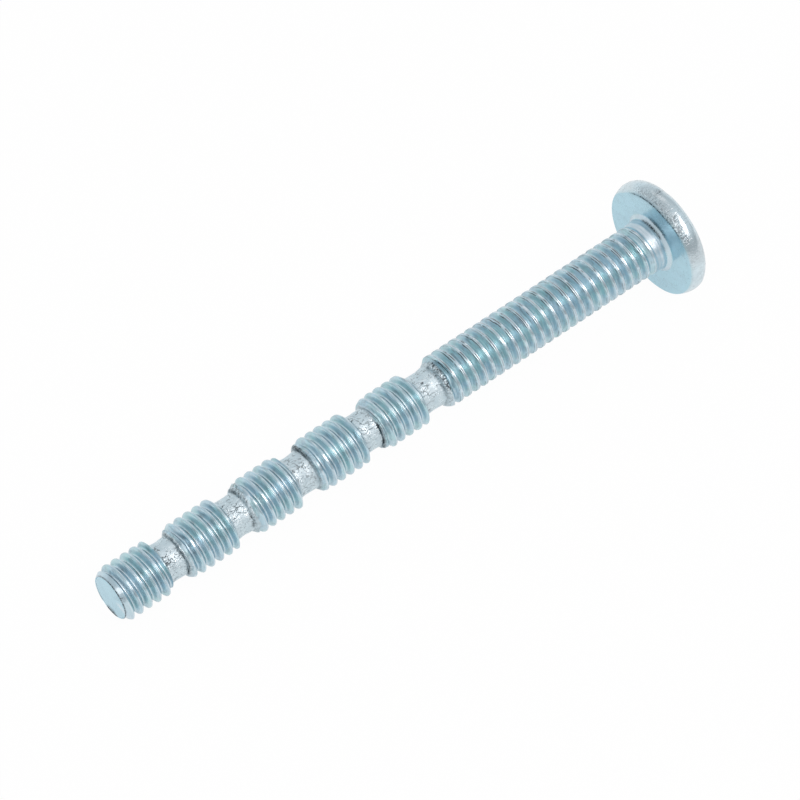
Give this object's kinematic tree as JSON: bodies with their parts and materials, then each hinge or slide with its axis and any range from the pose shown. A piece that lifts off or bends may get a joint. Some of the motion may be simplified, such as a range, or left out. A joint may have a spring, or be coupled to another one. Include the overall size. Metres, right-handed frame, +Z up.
{
  "type": "furniture connector screw",
  "caption": "Long thin machine screw with a low round head, a cross recess and waisted break-off necks along the tip half of its shank, lying at rest.",
  "frame": {"origin": "middle of the lying screw's length and width, on the plane it lies on", "axes": "+Z up; +X along the screw on that plane, from the tip towards the head; +Y across it"},
  "size_m": [0.0474, 0.0086, 0.0086],
  "materials": {
    "zinc": "bright blue-white zinc on cold-headed steel, glossy on the thread and under the head, grey and matt on the head's rim and in the break-off necks"
  },
  "bodies": {
    "root": {"screw": "zinc"}
  },
  "joints": []
}
